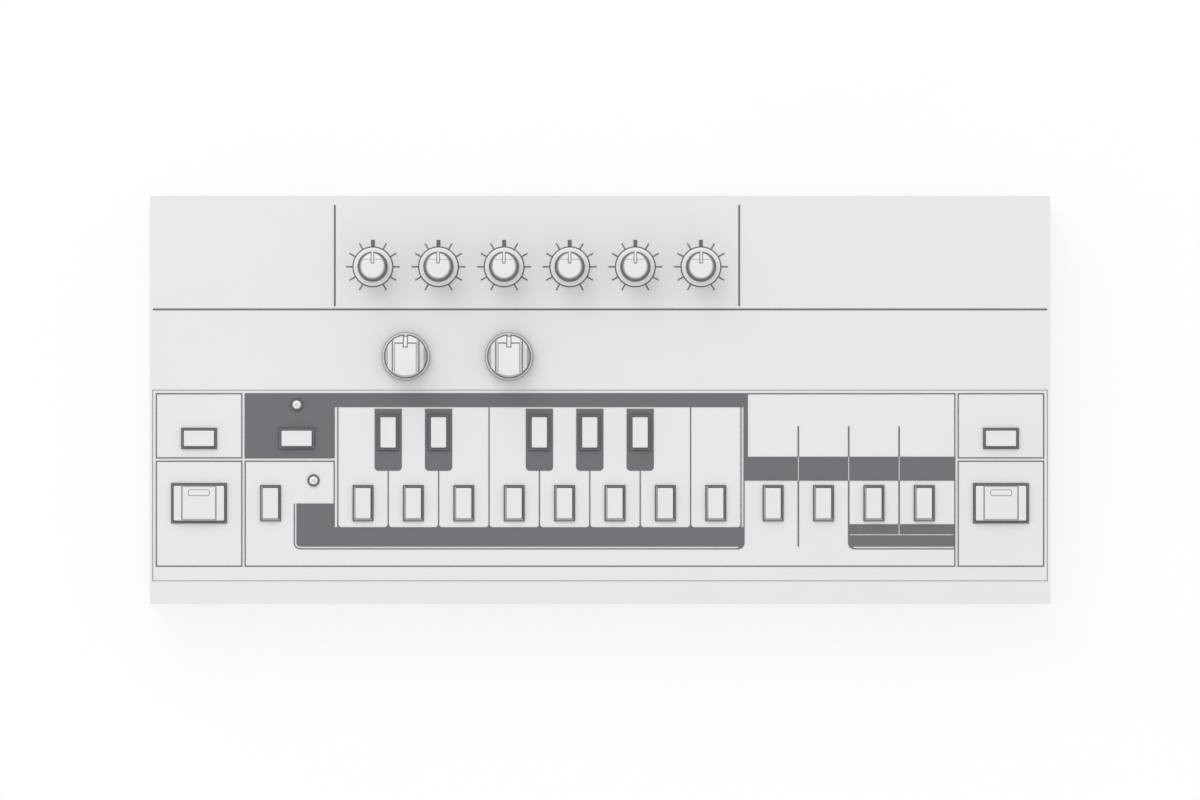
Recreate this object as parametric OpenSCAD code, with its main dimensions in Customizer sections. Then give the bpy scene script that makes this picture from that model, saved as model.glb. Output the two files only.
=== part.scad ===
// Desktop pattern machine: a flat case with a sloping top, six small rotary
// controls, two rotary selectors and a one-octave field of push buttons.
// Frame: the origin lies on the table under the middle of the case,
// +X to the player's right, +Y to the rear and +Z up.

/* [Case] */
// Width of the case
case_w = 300; // [290:1:330]
// Length of the sloping top, front edge to rear edge
case_len = 136; // [134:1:150]
// Height of the front wall
front_h = 25; // [25:0.5:34]
// Slope of the top, degrees
tilt = 6; // [5:0.5:9]
// Thickness of the case walls
wall = 2.5; // [2.2:0.1:3]
// Height of the lower case half
split_h = 9; // [8:0.5:11]
// Height of the lip that centres the case halves
lip_h = 1.5; // [1:0.1:2.5]
// Thickness of that lip
lip_t = 1.1; // [0.9:0.1:1.4]
// Clearance round the lip
lip_gap = 0.15; // [0.1:0.05:0.3]
// Height and depth of the groove that marks the parting line
groove = 0.5; // [0.3:0.1:0.8]

/* [Fascia] */
// Margin between the fascia's ends and the case sides
fascia_side = 1; // [0.8:0.1:2]
// Distance from the case's front edge to the fascia
fascia_front = 7.8; // [6.5:0.1:9]
// Length of the fascia up the slope
fascia_len = 63.4; // [62:0.2:66]
// Thickness of the fascia
fascia_t = 1.5; // [1:0.1:1.8]
// Depth of the fascia's face below the case top
fascia_sink = 0.3; // [0.2:0.1:0.8]
// Clearance round the fascia
fascia_gap = 0.2; // [0.1:0.05:0.4]
// Width of the ledge under the fascia's rim
ledge_w = 2.6; // [2.4:0.1:3.6]
// Thickness of that ledge
ledge_t = 1.5; // [1.2:0.1:2]
// Thickness of the printed film on the fascia
film_t = 0.12; // [0.08:0.01:0.2]

/* [Key field] */
// Left edge of the printed key field, from the middle of the case
key_left = -87.4; // [-89:0.1:-86]
// Width of one printed white key
key_pitch = 16.8; // [16:0.1:17]
// Length of a printed white key
key_len = 40; // [38:0.2:41]
// Depth of the dark band behind the keys
key_band = 4.7; // [4:0.1:6]
// Width of a printed black key
black_w = 9.1; // [8.5:0.1:10]
// Length of a printed black key
black_len = 21.2; // [19:0.1:22]
// Distance of the lower row of buttons from the fascia's rear edge
low_off = 37.6; // [36.7:0.1:38.2]
// Distance of the black-key buttons from the fascia's rear edge
black_off = 14; // [13.2:0.1:14.7]
// Distance of the wide buttons from the fascia's rear edge
wide_off = 16; // [15.2:0.1:17.2]
// Distance of the wide mode button from the key field
mode_off = 13.7; // [13:0.1:14.5]
// Distance of the tall mode button from the key field
time_off = 22.4; // [21:0.1:23]
// Distance of the lower lamp from the key field
lamp_off = 8.1; // [7:0.1:10]
// Distance of the lower lamp from the fascia's rear edge
lamp_rear = 30; // [28.2:0.1:31.2]

/* [Side boxes] */
// Width of the boxes at the fascia's ends
side_box_w = 28.5; // [27:0.1:29]
// Margin between those boxes and the fascia's ends
side_box_margin = 1.1; // [0.8:0.1:1.6]
// Length of the lower boxes up the slope
low_box_len = 35; // [34:0.1:36]
// Distance from the fascia's front edge to the lower boxes
low_box_front = 4.8; // [4:0.1:5.5]
// Gap between neighbouring boxes
box_gap = 1.1; // [0.8:0.1:1.4]

/* [Print] */
// Width of the fascia's printed lines
line_w = 0.4; // [0.3:0.05:0.6]
// Width of the dividers between the function buttons
divider_w = 0.5; // [0.4:0.05:0.6]
// Length of the dividers behind the white keys' front ends
divider_len = 33.7; // [30.4:0.1:36.4]
// Width of the pale lines in the dark areas
hair_w = 0.3; // [0.2:0.05:0.4]
// Gap between a dark ground and its outline
inline_gap = 0.5; // [0.4:0.05:0.6]
// Corner radius of the printed white keys
key_round = 1; // [0.6:0.1:1.4]
// Corner radius of the printed black keys
black_round = 1.3; // [0.8:0.1:1.6]
// Gap between the black keys and the dark band
black_gap = 0.5; // [0.3:0.1:0.8]
// Corner radius of the dark grounds
ground_round = 1.3; // [1:0.1:1.8]
// Length of the dark grounds in front of the keys
ground_len = 6.5; // [5.5:0.1:6.8]
// Width of the ground's block beside the keys
block_w = 12.8; // [12:0.1:14]
// Length of that block
block_len = 14.4; // [13.5:0.1:15]
// Distance of the function band from the white keys' front ends
band_off = 15.5; // [15:0.1:16.5]
// Length of the function band
band_len = 8; // [7:0.1:9]
// Width of the dark strip beside the key field
strip_w = 1.5; // [1.2:0.1:2]
// Gap between the key field and that strip
strip_gap = 0.8; // [0.6:0.1:1]
// Width of the rules on the case top
rule_w = 0.6; // [0.4:0.05:0.8]
// Height of the print on the case top
ink_t = 0.1; // [0.06:0.01:0.15]
// Distance of the long rule from the fascia's rear edge
rule_off = 26.7; // [24.8:0.1:27.8]
// Gap between the long rule and the upright rules
rule_gap = 0.8; // [0.5:0.1:1.5]
// Distance of the upright rules' rear ends from the case's rear edge
rule_end = 3; // [2:0.5:5]
// Inner radius of the dial marks
tick_r = 6.7; // [6.6:0.1:7.2]
// Length of a dial mark
tick_len = 2.3; // [1.8:0.1:2.8]
// Width of a dial mark
tick_w = 0.43; // [0.3:0.01:0.6]
// Width of the mark at twelve o'clock
top_tick_w = 1.3; // [1:0.1:1.6]

/* [Buttons] */
// Width of a note button's cap
tall_w = 5.1; // [4.4:0.1:5.4]
// Length of a note button's cap
tall_len = 10.2; // [9.4:0.1:10.6]
// Width of a wide button's cap
wide_w = 10.1; // [9:0.1:10.4]
// Length of a wide button's cap
wide_len = 5.2; // [4.5:0.1:5.5]
// Width of a large button's cap
large_w = 16.8; // [16:0.1:17.2]
// Length of a large button's cap
large_len = 11.6; // [11:0.1:12]
// Width of the raised pad on a large cap
pad_w = 10.9; // [10:0.1:12]
// Height of the raised pad on a large cap
pad_h = 0.4; // [0.3:0.1:0.6]
// Height of the caps above the case top
cap_rise = 2; // [1.6:0.1:2.6]
// Travel of the buttons
travel = 0.9; // [0.6:0.1:1]
// Clearance between a cap and its collar
cap_gap = 0.15; // [0.1:0.01:0.25]
// Width of the flange that keeps a cap in
flange_w = 0.8; // [0.6:0.1:1]
// Thickness of that flange
flange_t = 1; // [0.8:0.1:1.2]
// Radius of a cap's stem
stem_r = 1.6; // [1.3:0.1:1.8]
// Length of the lens in a large cap
lens_len = 6.8; // [6.4:0.1:7.8]
// Width of that lens
lens_w = 1.7; // [1.5:0.1:2.4]
// Radius of that lens's corners
lens_round = 0.6; // [0.4:0.05:0.7]
// Thickness of that lens
lens_t = 1.5; // [1:0.1:2]
// Distance of the lens from the middle of its cap
lens_off = 3.5; // [3:0.1:3.8]

/* [Button carrier] */
// Thickness of the carrier's plate
carrier_t = 2; // [1.6:0.1:2.4]
// Height of the collars above the case top
collar_rise = 0.4; // [0.2:0.1:0.6]
// Thickness of a collar's wall
collar_t = 0.7; // [0.6:0.05:1]
// Clearance between a collar and the fascia
collar_gap = 0.1; // [0.08:0.01:0.2]
// Reach of the plate under the ledge
carrier_lap = 2; // [1.5:0.1:2.4]
// Radius of the standoffs above the switch board
standoff_r = 2.6; // [2.3:0.1:3]
// Front row of the standoffs up the slope
standoff_front = 20; // [19.5:0.1:20.5]
// Distance of their rear row behind the low row of buttons
standoff_past = 12.9; // [12.6:0.1:13.2]

/* [Small knobs] */
// Middle of the first small knob, from the middle of the case
knob_left = -75.7; // [-77:0.1:-75]
// Distance between small knobs
knob_pitch = 21.87; // [21.4:0.01:22.2]
// Distance of the small knobs from the fascia's rear edge
knob_off = 41.2; // [39.8:0.1:42.8]
// Radius of a small knob's skirt
skirt_r = 6.4; // [6:0.1:6.5]
// Thickness of that skirt
skirt_t = 1.2; // [1:0.1:1.6]
// Radius of a small knob's body at the skirt
knob_r = 5.05; // [4.6:0.05:5.4]
// Taper of the body's radius towards the top
knob_taper = 0.4; // [0:0.05:0.7]
// Height of a small knob
knob_h = 11.6; // [10:0.1:14]
// Radius of the inlay on a small knob's top
inlay_r = 3.6; // [3.2:0.1:3.8]

/* [Selectors] */
// Middle of the first selector, from the middle of the case
selector_left = -64.7; // [-66:0.1:-64]
// Distance between the selectors
selector_pitch = 34.4; // [33:0.1:36]
// Distance of the selectors from the fascia's rear edge
selector_off = 11.3; // [10.8:0.1:12.8]
// Radius of a selector's disc
selector_r = 8.05; // [7.6:0.05:8.4]
// Thickness of that disc
selector_disc_t = 2; // [1.6:0.1:2.6]
// Height of a selector
selector_h = 13; // [11:0.1:15]
// Width of a selector's grip
grip_w = 8.8; // [8:0.1:9.4]
// Width of the steps beside the grip
step_w = 12.4; // [11.6:0.1:13]
// Height of those steps
step_h = 5; // [4:0.1:6]

/* [Shafts] */
// Gap between a knob and the case top
knob_float = 0.6; // [0.4:0.1:1]
// Radius of the control shafts
shaft_r = 2.5; // [2.3:0.05:2.6]
// Radial clearance of a shaft in its bushing
shaft_fit = 0.05; // [0.03:0.01:0.08]
// Depth of the flat on a shaft
shaft_flat = 0.7; // [0.4:0.05:0.9]
// Radius of a control's bushing
bushing_r = 3.5; // [3.3:0.05:3.8]
// Clearance between a bushing and the case
bushing_gap = 0.3; // [0.2:0.05:0.5]
// Top of a knob's bore, below its top
bore_cap = 2; // [1.6:0.1:3]

/* [Boards] */
// Depth of the boards' upper face below the case top
board_depth = 12; // [11.5:0.1:12.5]
// Thickness of the boards
board_t = 1.6; // [1.2:0.1:2]
// Clearance between the boards' ends and the case walls
board_side = 10; // [9:0.5:12]
// Front edge of the switch board up the slope
switch_board_v = 12.2; // [12:0.1:13]
// Distance of the switch board's rear edge from the fascia's
switch_board_off = 2.2; // [1.7:0.1:2.7]
// Gap between the boards
board_gap = 5; // [4.5:0.1:6]
// Clearance behind the main board
board_rear = 1.7; // [1.4:0.1:2.5]
// Distance of the flat cable from the middle
cable_off = 88; // [86:0.5:90]
// Width of a push switch's body
switch_w = 6; // [5:0.1:6.2]
// Height of that body
switch_h = 3.5; // [3.2:0.1:3.6]
// Width of a potentiometer's body
pot_w = 10; // [9:0.1:11]
// Height of the control bodies
control_h = 6.5; // [5:0.1:7]
// Radius of a rotary switch's body
rotary_r = 8; // [7:0.1:8.4]
// Radius of a lamp
lamp_r = 1.5; // [1.4:0.05:1.6]

/* [Rear sockets] */
// Middle of the first large jack, from the middle of the case
jack_x = 66; // [64:0.5:70]
// Distance between the large jacks
jack_pitch = 24; // [22:0.5:28]
// Radius of a large jack's bore
jack_bore_r = 3.25; // [3.2:0.05:3.3]
// Radius of a large jack's threaded nose
jack_nose_r = 4.5; // [4.3:0.1:4.8]
// Width of a large jack's body
jack_w = 14; // [13:0.5:16]
// Length of a large jack's body
jack_len = 25; // [24:0.5:28]
// Middle of the first small jack, from the middle of the case
mini_x = -66; // [-70:0.5:-62]
// Distance between the small jacks
mini_pitch = 16; // [14:0.5:20]
// Radius of a small jack's bore
mini_bore_r = 1.8; // [1.78:0.01:1.85]
// Radius of a small jack's threaded nose
mini_nose_r = 3; // [2.8:0.1:3.2]
// Width of a small jack's body
mini_w = 9; // [8:0.5:10]
// Length of a small jack's body
mini_len = 13; // [12:0.5:15]
// Middle of the power socket, from the middle of the case
dc_x = -116; // [-118:0.5:-110]
// Radius of the power socket's bore
dc_bore_r = 2.85; // [2.8:0.05:2.95]
// Radius of the power socket's pin
dc_pin_r = 1; // [0.9:0.05:1.05]
// Radius of the power socket's nose
dc_nose_r = 4.6; // [4.2:0.1:5]
// Length of the power socket's body
dc_len = 12; // [11:0.5:14]
// Distance of the sockets' axes below the boards
socket_drop = 6; // [5.5:0.1:6.5]
// Depth of the sockets' noses below the rear face
nose_sink = 0.3; // [0.2:0.1:0.6]
// Thickness of the sockets' blind ends
socket_back = 2; // [1.5:0.5:3]
// Clearance between a nose and the rear wall
nose_gap = 0.2; // [0.15:0.05:0.4]

/* [Battery bay] */
// Number of cells
cells = 6; // [4:1:6]
// Pitch of the cells
cell_pitch = 15; // [14.6:0.1:15]
// Length of the bay
bay_len = 53; // [52:0.5:54]
// Height of the bay above the floor
bay_h = 14.7; // [14.4:0.1:14.8]
// Thickness of the bay's walls
bay_wall = 1.5; // [1.2:0.1:1.6]
// Gap between the bay and the case's rear edge
bay_rear = 6.5; // [6:0.1:8]
// Width of the door's tongues
tongue_w = 2; // [1.5:0.1:2.5]
// Thickness of the ledges under the tongues
door_ledge = 1; // [0.8:0.1:1.2]
// Clearance round the door
door_gap = 0.2; // [0.15:0.05:0.3]
// Thickness of a contact plate
contact_t = 0.4; // [0.3:0.05:0.5]
// Length of a contact spring
spring_len = 5; // [4:0.5:6]

/* [Feet and screws] */
// Height of the feet below the case
foot_h = 3; // [2:0.5:4]
// Radius of the feet
foot_r = 7; // [6:0.5:8]
// Depth of the feet's seats
foot_seat = 0.8; // [0.5:0.1:1.2]
// Distance of the feet from the case's sides
foot_side = 20; // [18:0.5:24]
// Distance of the feet from the case's front and rear
foot_end = 15; // [14:0.5:18]
// Radius of the case screws' posts
post_r = 2.8; // [2.7:0.1:3.2]
// Distance of the posts from the case's sides
post_side = 7; // [6.5:0.1:7.5]
// Distance of the front posts from the case's front edge
post_front = 9.5; // [9:0.1:10]
// Distance of the rear posts from the case's rear edge
post_rear = 7.6; // [7:0.1:8.5]
// Distance of the middle posts from the middle of the case
post_mid = 56; // [54:0.5:60]
// Radius of the screws' shanks
screw_r = 1.2; // [1:0.05:1.3]
// Radius of the screws' heads
screw_head_r = 2.3; // [2:0.1:2.5]
// Height of the screws' heads
screw_head_t = 1.4; // [1.2:0.1:1.8]
// Radial clearance of the screws
screw_fit = 0.05; // [0.03:0.01:0.1]

/* [Hidden] */
$fn = 48;
case_grey = [0.906, 0.906, 0.906];
print_grey = [0.45, 0.455, 0.47];
metal_grey = [0.72, 0.72, 0.74];
board_green = [0.12, 0.34, 0.2];
eps = 0.01;

// Small clearances and overlaps shared by several pieces
flange_gap = 0.1;
stem_reach = 0.2;
well_spare = 0.2;
lamp_gap = 0.1;
loose = 0.3;
head_gap = 0.2;
hole_spare = 0.3;
post_gap = 0.4;
foot_gap = 0.1;
tongue_gap = 0.1;
shaft_gap = 0.2;
shaft_deep = 3.8;

// Case outline in the world
case_z = foot_h;
front_z = case_z + front_h;
rear_z = front_z + case_len * sin(tilt);
front_y = -(case_len * cos(tilt) + (rear_z - case_z) * tan(tilt)) / 2;
rear_y = -front_y;
split_z = case_z + split_h;
floor_z = case_z + wall;
half_w = case_w / 2;

// Levels measured square to the sloping top, zero at the case top
fascia_top = -fascia_sink;
film_top = fascia_top + film_t;
seat = fascia_top - fascia_t;
ledge_low = seat - ledge_t;
carrier_low = ledge_low - carrier_t;
flange_top = carrier_low - flange_gap;
flange_low = flange_top - flange_t;
board_top = -board_depth;
board_low = board_top - board_t;
switch_top = board_top + switch_h;
well_depth = travel + stem_reach + well_spare;
stem_low = switch_top - stem_reach;
control_top = board_top + control_h;
knob_low = knob_float;
socket_w = board_low - socket_drop;
pin_v1 = case_len - 1;

// Fascia outline in the slope's own X and V
fascia_x = half_w - fascia_side;
fascia_end = fascia_front + fascia_len;
window_x = fascia_x - ledge_w;
window_v0 = fascia_front + ledge_w;
window_v1 = fascia_end - ledge_w;

// Rows of buttons and controls up the slope
low_row = fascia_end - low_off;
black_row = fascia_end - black_off;
wide_row = fascia_end - wide_off;
lamp_row = fascia_end - lamp_rear;
selector_row = fascia_end + selector_off;
knob_row = fascia_end + knob_off;

// Places across the case keep their share of its width
spread = case_w / 300;
key_w = key_pitch * spread;
key_x = key_left * spread;
jack_places = [for (i = [0:1]) (jack_x + i * jack_pitch) * spread];
mini_places = [for (i = [0:1]) (mini_x - i * mini_pitch) * spread];
dc_place = dc_x * spread;

// Printed boxes
side_x1 = fascia_x - side_box_margin;
side_x0 = side_x1 - side_box_w * spread;
side_mid = (side_x0 + side_x1) / 2;
box_v0 = fascia_front + low_box_front;
box_v1 = box_v0 + low_box_len;
box_v2 = box_v1 + box_gap;
box_v3 = fascia_end - side_box_margin;
mid_x = side_x0 - box_gap;

// Key field
white_count = 8;
key_right = key_x + white_count * key_w;
print_high = box_v3 + line_w / 2;
key_top = print_high - key_band;
key_low = key_top - key_len;
ground_v = key_low - ground_len;
ground_edge = inline_gap + line_w;
band_low = key_low + band_off;
divider_high = key_low + divider_len;
field_x = key_x - 1;
strip_x = key_right + strip_gap;
right_left = strip_x + strip_w;
mode_x = key_x - mode_off * spread;
time_x = key_x - time_off * spread;
lamp_x = key_x - lamp_off * spread;
lamp_collar_r = lamp_r + lamp_gap + collar_t / 2;
mode_lamp_v = window_v1 - fascia_gap - lamp_collar_r;

// Push buttons: name, x, v and cap size
tall = [tall_w, tall_len];
wide = [wide_w, wide_len];
large = [large_w, large_len];
white_names = [
    "key_c_low", "key_d", "key_e", "key_f", "key_g", "key_a", "key_b", "key_c_high"
];
black_names = [
    ["key_c_sharp", 1], ["key_d_sharp", 2], ["key_f_sharp", 4],
    ["key_g_sharp", 5], ["key_a_sharp", 6]
];
step_names = ["down_button", "up_button", "accent_button", "slide_button"];
BUTTONS = concat(
    [for (i = [0:white_count - 1]) [white_names[i], key_x + (i + 0.5) * key_w, low_row, tall]],
    [for (b = black_names) [b[0], key_x + b[1] * key_w, black_row, tall]],
    [for (i = [0:3]) [step_names[i], right_left + (i + 0.5) * key_w, low_row, tall]],
    [
        ["time_mode_button", time_x, low_row, tall],
        ["pitch_mode_button", mode_x, wide_row, wide],
        ["clear_button", -side_mid, wide_row, wide],
        ["back_button", side_mid, wide_row, wide],
        ["run_stop_button", -side_mid, low_row, large],
        ["write_button", side_mid, low_row, large]
    ]
);
LAMPS = [[mode_x, mode_lamp_v], [lamp_x, lamp_row]];
lens_names = ["run_stop_lens", "write_lens"];
large_buttons = [for (b = BUTTONS) if (b[3] == large) b];

// Rotary controls
knob_names = [
    "tempo_knob", "tone_knob", "decay_knob", "accent_knob", "swing_knob", "volume_knob"
];
shaft_names = [
    "tempo_shaft", "tone_shaft", "decay_shaft", "accent_shaft", "swing_shaft", "volume_shaft"
];
selector_names = ["pattern_selector", "mode_selector"];
selector_shaft_names = ["pattern_selector_shaft", "mode_selector_shaft"];
KNOBS = [for (i = [0:5]) [(knob_left + i * knob_pitch) * spread, knob_row]];
SELECTORS = [for (i = [0:1]) [(selector_left + i * selector_pitch) * spread, selector_row]];
CONTROLS = concat(KNOBS, SELECTORS);

// Boards, standoffs and screws
switch_board_x = half_w - wall - board_side;
switch_board_end = fascia_end - switch_board_off;
main_board_v0 = switch_board_end + board_gap;
main_board_v1 = case_len - wall - board_rear;
standoff_x = [-121, -42, 42, 121];
standoff_v = [standoff_front, low_row + standoff_past];
STANDOFFS = [for (x = standoff_x, v = standoff_v) [x * spread, v]];
ear_r = 2.5;
ear_skin = 0.9;
ear_v0 = window_v0 - 4.6;
ear_v1 = window_v1 + 6;
ear_x = [-100, 5, 100];
EARS = [for (x = ear_x, v = [ear_v0, ear_v1]) [x * spread, v]];
boss_edge = 5;
boss_x = switch_board_x - 6;
boss_mid = 60;
boss_v0 = main_board_v0 + boss_edge;
boss_v1 = main_board_v1 - boss_edge;
BOSSES = [
    [-boss_x, boss_v0], [boss_mid * spread, boss_v0], [boss_x, boss_v0],
    [-boss_x, boss_v1], [0, boss_v1], [boss_x, boss_v1]
];
post_x = half_w - post_side;
post_y0 = front_y + post_front;
post_y1 = rear_y - post_rear;
POSTS = [
    [-post_x, post_y0], [-post_mid, post_y0], [post_mid, post_y0],
    [post_x, post_y0], [-post_x, post_y1], [post_x, post_y1]
];
post_screw_z = case_z + 4;
post_screw_len = 14;
board_screw_len = 5;
ear_screw_len = -ear_skin - carrier_low - hole_spare;

// Battery bay
bay_x = cells * cell_pitch / 2;
bay_y1 = rear_y - bay_rear;
bay_y0 = bay_y1 - bay_len;
bay_z = floor_z + bay_h;
rail_w = 2.75;
rail_t = 1.5;
tongue_x = bay_x + tongue_w;
tongue_z = case_z + door_ledge + tongue_gap;
door_inset = 0.4;
rib_w = 24;
rib_pitch = 2.4;

// A cap's size with a margin all round
function grown(size, by) = [for (s = size) s + 2 * by];

// Moves a shape drawn in the slope's own X, V and height into the world
module on_top() {
    translate([0, front_y, front_z])
        rotate([tilt, 0, 0])
            children();
}

// Moves a shape drawn at a point of the slope, such as a control
module at(point) {
    on_top()
        translate([point[0], point[1], 0])
            children();
}

// An upright block, centred in plan
module block(size, low, high) {
    translate([-size[0] / 2, -size[1] / 2, low])
        cube([size[0], size[1], high - low]);
}

// An upright rod
module rod(r, low, high) {
    translate([0, 0, low])
        cylinder(r = r, h = high - low);
}

// The case's outer form moved inwards, between two heights
module case_form(inset, low, high) {
    intersection() {
        on_top()
            translate([-half_w + inset, inset, -case_len])
                cube([case_w - 2 * inset, case_len - 2 * inset, case_len - inset]);
        translate([-case_w, -case_w, low])
            cube([2 * case_w, 2 * case_w, high - low]);
    }
}

// A rod along the slope, for what passes the rear wall
module rear_rod(x, r, v0, v1) {
    on_top()
        translate([x, v0, socket_w])
            rotate([-90, 0, 0])
                cylinder(r = r, h = v1 - v0);
}

// The vertical posts that take the case screws, one height range
module posts(r, low, high) {
    for (p = POSTS)
        translate([p[0], p[1], 0])
            rod(r, low, high);
}

module top_case() {
    color(case_grey)
        difference() {
            union() {
                difference() {
                    case_form(0, split_z, rear_z + 1);
                    case_form(wall, case_z, rear_z + 1);
                }
                intersection() {
                    posts(post_r, split_z, rear_z);
                    case_form(wall / 2, case_z, rear_z);
                }
                on_top() {
                    translate([-half_w + wall / 2, fascia_front - ledge_t, ledge_low])
                        cube([case_w - wall, fascia_len + 2 * ledge_t, ledge_t]);
                    for (e = EARS)
                        translate([e[0], e[1], 0])
                            rod(ear_r, ledge_low, -wall / 2);
                    for (b = BOSSES)
                        translate([b[0], b[1], 0])
                            rod(standoff_r, board_top, -wall / 2);
                }
            }
            on_top() {
                translate([-fascia_x - fascia_gap, fascia_front - fascia_gap, seat])
                    cube([2 * (fascia_x + fascia_gap), fascia_len + 2 * fascia_gap, wall * 2]);
                translate([-window_x, window_v0, ledge_low - eps])
                    cube([2 * window_x, window_v1 - window_v0, wall * 2]);
                for (e = EARS)
                    translate([e[0], e[1], 0])
                        rod(screw_r + screw_fit, ledge_low - 1, -ear_skin);
                for (b = BOSSES)
                    translate([b[0], b[1], 0])
                        rod(screw_r + screw_fit, board_top - 1, board_top + board_screw_len);
                for (c = CONTROLS)
                    translate([c[0], c[1], 0])
                        rod(bushing_r + bushing_gap, -wall - 1, 1);
            }
            posts(screw_r + screw_fit, split_z - 1, post_screw_z + post_screw_len + hole_spare);
            case_form(wall - lip_t - lip_gap, split_z - 1, split_z + lip_h + lip_gap);
            difference() {
                case_form(-1, split_z - 1, split_z + groove);
                case_form(groove, split_z - 2, split_z + groove + 1);
            }
            for (i = [0:1]) {
                rear_rod(jack_places[i], jack_nose_r + nose_gap, case_len - wall - 1, case_len + 1);
                rear_rod(mini_places[i], mini_nose_r + nose_gap, case_len - wall - 1, case_len + 1);
            }
            rear_rod(dc_place, dc_nose_r + nose_gap, case_len - wall - 1, case_len + 1);
        }
}

module bottom_case() {
    color(case_grey)
        difference() {
            union() {
                difference() {
                    case_form(0, case_z, split_z);
                    case_form(wall, floor_z, split_z + 1);
                }
                difference() {
                    case_form(wall - lip_t, floor_z, split_z + lip_h);
                    case_form(wall, floor_z - 1, split_z + lip_h + 1);
                    posts(post_r + lip_gap, split_z, split_z + lip_h + 1);
                }
                posts(post_r + post_gap, case_z, split_z);
                battery_bay();
            }
            posts(screw_r + loose, case_z - 1, split_z + 1);
            posts(screw_head_r + head_gap, case_z - 1, post_screw_z);
            door_slot();
            foot_places()
                rod(foot_r + foot_gap, case_z - 1, case_z + foot_seat);
        }
}

// The walls and ceiling of the battery bay, which stand on the floor
module battery_bay() {
    outer_x = bay_x + bay_wall;
    difference() {
        union() {
            translate([-outer_x, bay_y0 - bay_wall, floor_z])
                cube([2 * outer_x, bay_len + 2 * bay_wall, bay_h + bay_wall]);
            for (side = [-1, 1])
                translate([side > 0 ? bay_x : -bay_x - tongue_w - rail_w, bay_y0 - bay_wall, floor_z])
                    cube([tongue_w + rail_w, bay_len + 2 * bay_wall, rail_t]);
        }
        translate([-bay_x, bay_y0, floor_z - 1])
            cube([2 * bay_x, bay_len, bay_h + 1]);
    }
}

// The opening that the door fills: a narrow part below and grooves above
module door_slot() {
    slot_len = rear_y - bay_y0 + 5;
    translate([-bay_x, bay_y0, case_z - 1])
        cube([2 * bay_x, slot_len, wall + 1]);
    translate([-tongue_x - door_gap, bay_y0, case_z + door_ledge])
        cube([2 * (tongue_x + door_gap), slot_len, wall - door_ledge]);
}

module battery_door() {
    door_y0 = bay_y0 + door_gap;
    door_y1 = rear_y - door_inset;
    plate_x = bay_x - door_gap;
    top_z = floor_z - door_gap;
    grip_y = door_y1 - 10;
    color(case_grey)
        difference() {
            union() {
                translate([-plate_x, door_y0, case_z])
                    cube([2 * plate_x, door_y1 - door_y0, top_z - case_z]);
                translate([-tongue_x, door_y0, tongue_z])
                    cube([2 * tongue_x, door_y1 - door_y0, top_z - tongue_z]);
            }
            for (i = [0:4])
                translate([-rib_w / 2, grip_y - i * rib_pitch, case_z - eps])
                    cube([rib_w, rib_pitch / 2, door_ledge * 0.6]);
        }
}

// Six cells side by side: a spring in front of each and a plate behind
module battery_contacts() {
    spring_r = 3;
    plate = 10;
    color(metal_grey)
        for (i = [0:cells - 1])
            translate([-bay_x + (i + 0.5) * cell_pitch, 0, floor_z + bay_h / 2]) {
                for (y = [bay_y0, bay_y1 - contact_t])
                    translate([-plate / 2, y, -plate / 2])
                        cube([plate, contact_t, plate]);
                translate([0, bay_y0 + contact_t, 0])
                    rotate([-90, 0, 0])
                        difference() {
                            cylinder(r1 = spring_r + 1, r2 = spring_r, h = spring_len);
                            translate([0, 0, eps])
                                cylinder(r1 = spring_r + 0.2, r2 = spring_r - 0.8, h = spring_len);
                        }
            }
}

// Repeats a foot or its seat at the four corners
module foot_places() {
    for (sx = [-1, 1], y = [front_y + foot_end, rear_y - foot_end])
        translate([sx * (half_w - foot_side), y, 0])
            children();
}

module feet() {
    color(print_grey)
        foot_places() {
            cylinder(r1 = foot_r - 0.6, r2 = foot_r, h = foot_h);
            rod(foot_r, foot_h, foot_h + foot_seat);
        }
}

module fascia_plate() {
    color(case_grey)
        on_top()
            difference() {
                translate([-fascia_x, fascia_front, seat])
                    cube([2 * fascia_x, fascia_len, fascia_t]);
                collar_windows(seat - 1, fascia_top + 1);
            }
}

// The holes through fascia and film in which the collars stand
module collar_windows(low, high) {
    for (b = BUTTONS)
        translate([b[1], b[2], 0])
            block(grown(b[3], cap_gap + collar_t + collar_gap), low, high);
    for (p = LAMPS)
        translate([p[0], p[1], 0])
            rod(lamp_collar_r + collar_gap, low, high);
}

// Two-dimensional strokes of the printed film
module across(x0, x1, v) {
    translate([x0 - line_w / 2, v - line_w / 2])
        square([x1 - x0 + line_w, line_w]);
}

module upright(x, v0, v1, t = line_w) {
    translate([x - t / 2, v0])
        square([t, v1 - v0]);
}

module area(x0, v0, x1, v1) {
    translate([x0, v0])
        square([x1 - x0, v1 - v0]);
}

module frame(x0, v0, x1, v1) {
    across(x0, x1, v0);
    across(x0, x1, v1);
    upright(x0, v0, v1);
    upright(x1, v0, v1);
}

// A rectangle whose two front corners are round
module tab(x0, v0, x1, v1, r) {
    area(x0, v0 + r, x1, v1);
    area(x0 + r, v0, x1 - r, v0 + r + eps);
    for (x = [x0 + r, x1 - r])
        translate([x, v0 + r])
            circle(r = r);
}

// Dividers between the white keys and the dark corners at their front ends
module white_keys() {
    under_black = key_top - black_len + black_round;
    for (i = [0:white_count]) {
        is_split = len([for (b = black_names) if (b[1] == i) b]) > 0;
        upright(key_x + i * key_w, key_low - line_w, is_split ? under_black : key_top + line_w);
    }
    for (i = [0:white_count - 1]) {
        x0 = key_x + i * key_w;
        difference() {
            area(x0, key_low - line_w, x0 + key_w, key_low + 2 * key_round);
            tab(x0 + line_w / 2, key_low, x0 + key_w - line_w / 2, key_top, key_round);
        }
    }
}

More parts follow.
